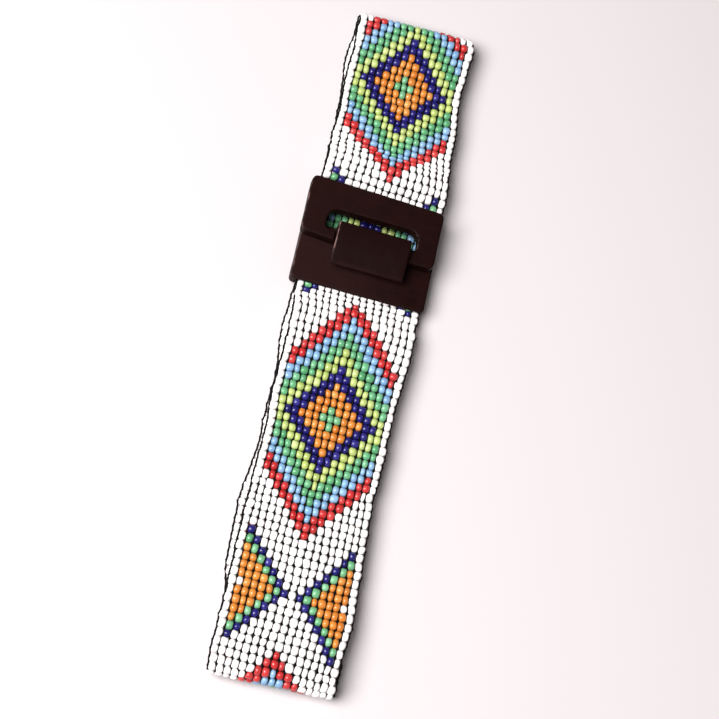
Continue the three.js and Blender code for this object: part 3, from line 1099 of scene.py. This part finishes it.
def carve_frame():
    left = FRAME_CENTRE_X - FRAME_WIDTH / 2
    right = FRAME_CENTRE_X + FRAME_WIDTH / 2
    frame_piece = block("carved_frame", (left, FRAME_NEAR_Y, FRAME_BOTTOM),
                        (right, FRAME_FAR_Y, FRAME_TOP))
    bevel_uprights(frame_piece, (left, right), (FRAME_NEAR_Y, FRAME_FAR_Y), FRAME_CORNER)
    slot_left = SLOT_CENTRE_X - SLOT_LENGTH / 2
    slot_right = SLOT_CENTRE_X + SLOT_LENGTH / 2
    slot = block("slot", (slot_left, SLOT_NEAR_Y, FRAME_BOTTOM - CUT_PAST),
                 (slot_right, SLOT_FAR_Y, FRAME_TOP + CUT_PAST))
    for x in (slot_left, slot_right):
        bevel_where(slot, upright_at(x, SLOT_NEAR_Y), SLOT_NEAR_CORNER)
        bevel_where(slot, upright_at(x, SLOT_FAR_Y), SLOT_FAR_CORNER)
    join_or_cut(frame_piece, slot, "DIFFERENCE")
    seat_half = TONGUE_WIDTH / 2 + SEAT_MARGIN
    seat = block("seat", (TONGUE_CENTRE_X - seat_half, FRAME_NEAR_Y - CUT_PAST,
                          TONGUE_UNDERSIDE - GAP),
                 (TONGUE_CENTRE_X + seat_half, SLOT_NEAR_Y + CUT_PAST, FRAME_TOP + CUT_PAST))
    join_or_cut(frame_piece, seat, "DIFFERENCE")
    sand_and_whittle(frame_piece)
    places = corners_of(frame_piece)
    near_share = np.clip((SLOT_NEAR_Y - places[:, 1]) / (SLOT_NEAR_Y - FRAME_NEAR_Y), 0, 1)
    far_share = np.clip((places[:, 1] - SLOT_FAR_Y) / (FRAME_FAR_Y - SLOT_FAR_Y), 0, 1)
    from_middle = (places[:, 0] - FRAME_CENTRE_X) / (FRAME_WIDTH / 2)
    places[:, 1] += FRAME_LEAN * places[:, 0] * (near_share + far_share)
    places[:, 1] -= FRAME_NEAR_BULGE * (1 - from_middle ** 2) * near_share
    move_corners(frame_piece, places)
    finish_wood(frame_piece, "buckle_frame", np.zeros(len(places)),
                FRAME_PAINTED_SHEEN * (0.5 - from_middle / 2))


# %% [markdown]
# The hook is a plate that lies under the frame, a neck that rises through the slot, and a flat
# tongue that turns back over the frame's near bar. The tongue starts as a block: its far shoulder
# is bevelled, it is subdivided along its length so that its top can slope down to a thin tip, and
# the neck is extruded from its underside. The plate's left edge is rounded wider than the others,
# and a rebate under it takes the band's end.

# %% Carve the hook
PLATE_CENTRE_X = 0.45
PLATE_WIDTH = 65.05
PLATE_NEAR_Y = 19.55
PLATE_FAR_Y = 49.45
PLATE_BOTTOM = 4.3
PLATE_TOP = 11.3
PLATE_CORNER = 2.0
LEFT_ROUNDING = 2.4
# Painted sheen: the plate is lightened towards the lamp on the left; its right end gets none and
# stays dark as painted shade beside the tongue.
PLATE_PAINTED_SHEEN = 0.5
SHEEN_STOPS_FROM_RIGHT = 10.0
SHEEN_RAMP_REACH = 30.0
HANDLED_ABOVE = FRAME_TOP - 0.5
REBATE_MARGIN = 1.0
REBATE_TOP = 9.2
NECK_THICKNESS = 3.9
NECK_BOTTOM = 9.3
TONGUE_CENTRE_X = 1.5
TONGUE_WIDTH = 35.4
TONGUE_TIP_Y = 29.1
TONGUE_TOP = 21.4
TONGUE_UNDERSIDE = 15.8
TONGUE_SHOULDER = 1.2
TONGUE_CUTS = 14
TONGUE_SLOPE = [
    {"y": TONGUE_TIP_Y, "top": 17.0},
    {"y": 30.3, "top": 17.7},
    {"y": 33.5, "top": 18.8},
    {"y": 38.0, "top": 20.1},
    {"y": 42.5, "top": 21.0},
    {"y": 46.45, "top": TONGUE_TOP},
]


def carve_tongue():
    left = TONGUE_CENTRE_X - TONGUE_WIDTH / 2
    right = TONGUE_CENTRE_X + TONGUE_WIDTH / 2
    tongue = block("tongue", (left, TONGUE_TIP_Y, TONGUE_UNDERSIDE),
                   (right, PLATE_FAR_Y, TONGUE_TOP))
    bevel_where(tongue, lambda a, b: close(a.y, PLATE_FAR_Y) and close(b.y, PLATE_FAR_Y)
                and close(a.z, TONGUE_TOP) and close(b.z, TONGUE_TOP), TONGUE_SHOULDER)
    neck_near = PLATE_FAR_Y - NECK_THICKNESS
    bpy.ops.object.mode_set(mode="EDIT")
    select_edges(tongue, lambda a, b: abs(a.y - b.y) > (PLATE_FAR_Y - TONGUE_TIP_Y) / 2 * MM)
    bpy.ops.mesh.subdivide(number_cuts=TONGUE_CUTS)
    bpy.ops.mesh.select_all(action="SELECT")
    bpy.ops.mesh.bisect(plane_co=(0, neck_near * MM, 0), plane_no=(0, 1, 0))
    select_faces(tongue, lambda face: face.normal.z < -FACING and face.center.y > neck_near * MM)
    bpy.ops.mesh.extrude_region_move(
        TRANSFORM_OT_translate={"value": (0, 0, (NECK_BOTTOM - TONGUE_UNDERSIDE) * MM)})
    bpy.ops.object.mode_set(mode="OBJECT")
    places = corners_of(tongue)
    before_shoulder = places[:, 1] < PLATE_FAR_Y - TONGUE_SHOULDER
    on_top = (places[:, 2] > TONGUE_TOP - SAME_MM) & before_shoulder
    slope = np.interp(places[:, 1], [row["y"] for row in TONGUE_SLOPE],
                      [row["top"] for row in TONGUE_SLOPE])
    places[:, 2] = np.where(on_top, slope, places[:, 2])
    move_corners(tongue, places)
    return tongue


def carve_hook():
    left = PLATE_CENTRE_X - PLATE_WIDTH / 2
    right = PLATE_CENTRE_X + PLATE_WIDTH / 2
    hook = block("carved_hook", (left, PLATE_NEAR_Y, PLATE_BOTTOM), (right, PLATE_FAR_Y, PLATE_TOP))
    bevel_uprights(hook, (left, right), (PLATE_NEAR_Y, PLATE_FAR_Y), PLATE_CORNER)
    bevel_where(hook, lambda a, b: close(a.x, left) and close(b.x, left)
                and close(a.z, PLATE_TOP) and close(b.z, PLATE_TOP), LEFT_ROUNDING)
    end_left = NEAR_EDGES[-1]["left"] - REBATE_MARGIN
    end_right = NEAR_EDGES[-1]["right"] + REBATE_MARGIN
    rebate = block("rebate", (end_left, PLATE_NEAR_Y - CUT_PAST, PLATE_BOTTOM - CUT_PAST),
                   (end_right, NEAR_HEIGHTS[-1]["y"] + GAP, REBATE_TOP))
    join_or_cut(hook, rebate, "DIFFERENCE")
    join_or_cut(hook, carve_tongue(), "UNION")
    sand_and_whittle(hook)
    places = corners_of(hook)
    # The painted sheen falls off from the left and stops short of the plate's right end.
    from_right = right - SHEEN_STOPS_FROM_RIGHT - places[:, 0]
    finish_wood(hook, "buckle_hook", np.clip(places[:, 2] - HANDLED_ABOVE, 0, 1),
                PLATE_PAINTED_SHEEN * np.clip(from_right / SHEEN_RAMP_REACH, 0, 1))


carve_frame()
carve_hook()
